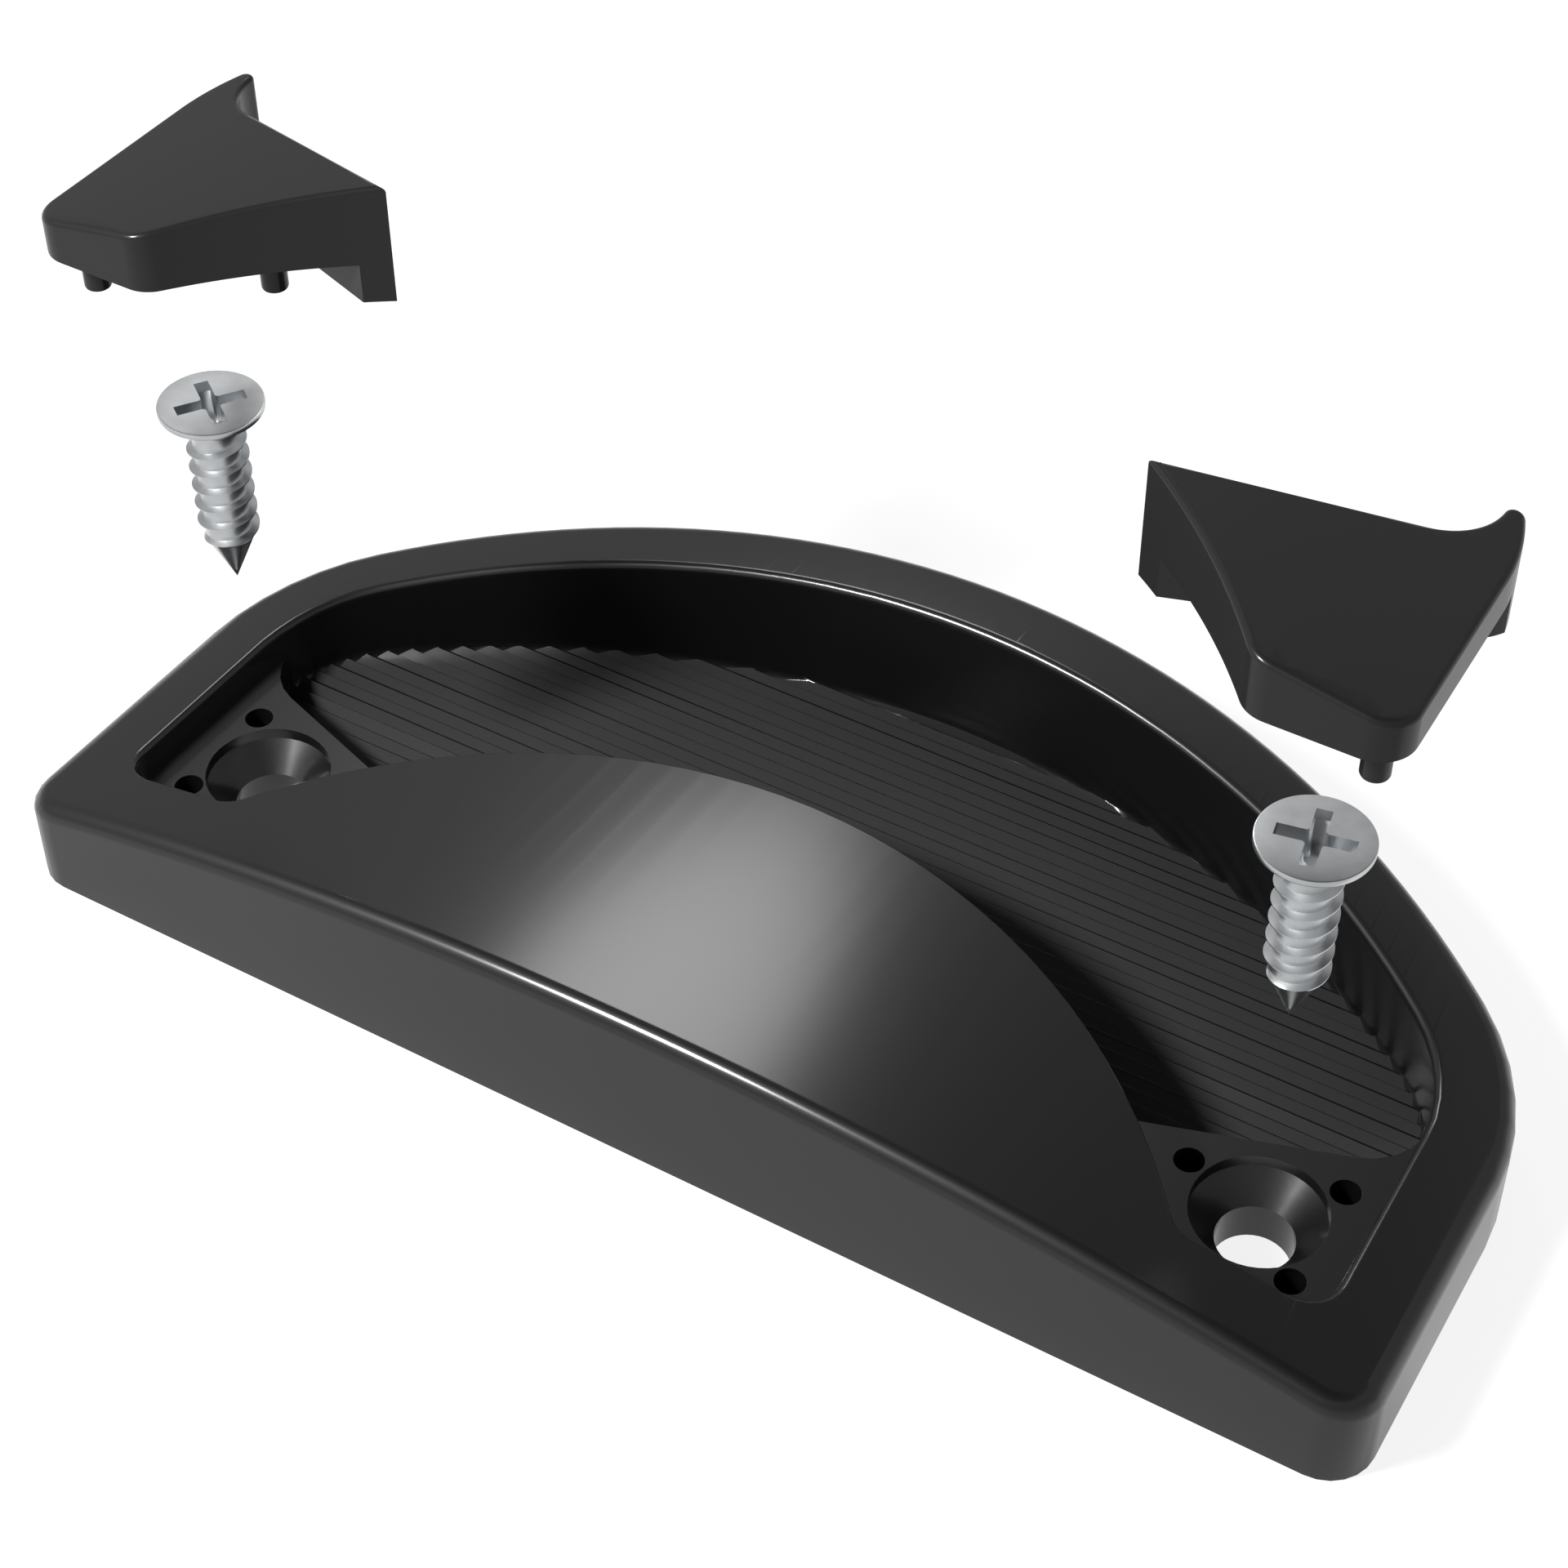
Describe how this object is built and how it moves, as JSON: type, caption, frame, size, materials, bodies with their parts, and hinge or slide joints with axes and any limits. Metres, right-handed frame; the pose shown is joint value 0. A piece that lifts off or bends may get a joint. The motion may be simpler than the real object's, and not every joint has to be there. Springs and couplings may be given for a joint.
{
  "type": "recessed pull handle",
  "caption": "Half-moon recessed pull handle with an arched top, a ribbed finger recess, pocket covers and countersunk screws.",
  "frame": {"origin": "on the back face, midway between the axes of the two screw holes", "axes": "+X along the straight edge, +Y towards the curved edge, +Z out of the mounting surface, towards the hand"},
  "size_m": [0.159, 0.0775, 0.0887],
  "materials": {
    "shell_plastic": "satin",
    "cover_plastic": "satin",
    "screw_steel": "polished"
  },
  "bodies": {
    "shell": {"grip_shell": "shell_plastic"},
    "screw_left": {"screw_left": "screw_steel"},
    "cover_left": {"cover_left": "cover_plastic"},
    "screw_right": {"screw_right": "screw_steel"},
    "cover_right": {"cover_right": "cover_plastic"}
  },
  "joints": [
    {"name": "screw_left_fit", "type": "slide", "parent": "shell", "child": "screw_left", "axis": [0, 0, 1], "range_m": [-0.0528, 0]},
    {"name": "cover_left_fit", "type": "slide", "parent": "screw_left", "child": "cover_left", "axis": [0, 0, 1], "range_m": [-0.0187, 0]},
    {"name": "screw_right_fit", "type": "slide", "parent": "shell", "child": "screw_right", "axis": [0, 0, 1], "range_m": [-0.0528, 0]},
    {"name": "cover_right_fit", "type": "slide", "parent": "screw_right", "child": "cover_right", "axis": [0, 0, 1], "range_m": [-0.0187, 0]}
  ]
}
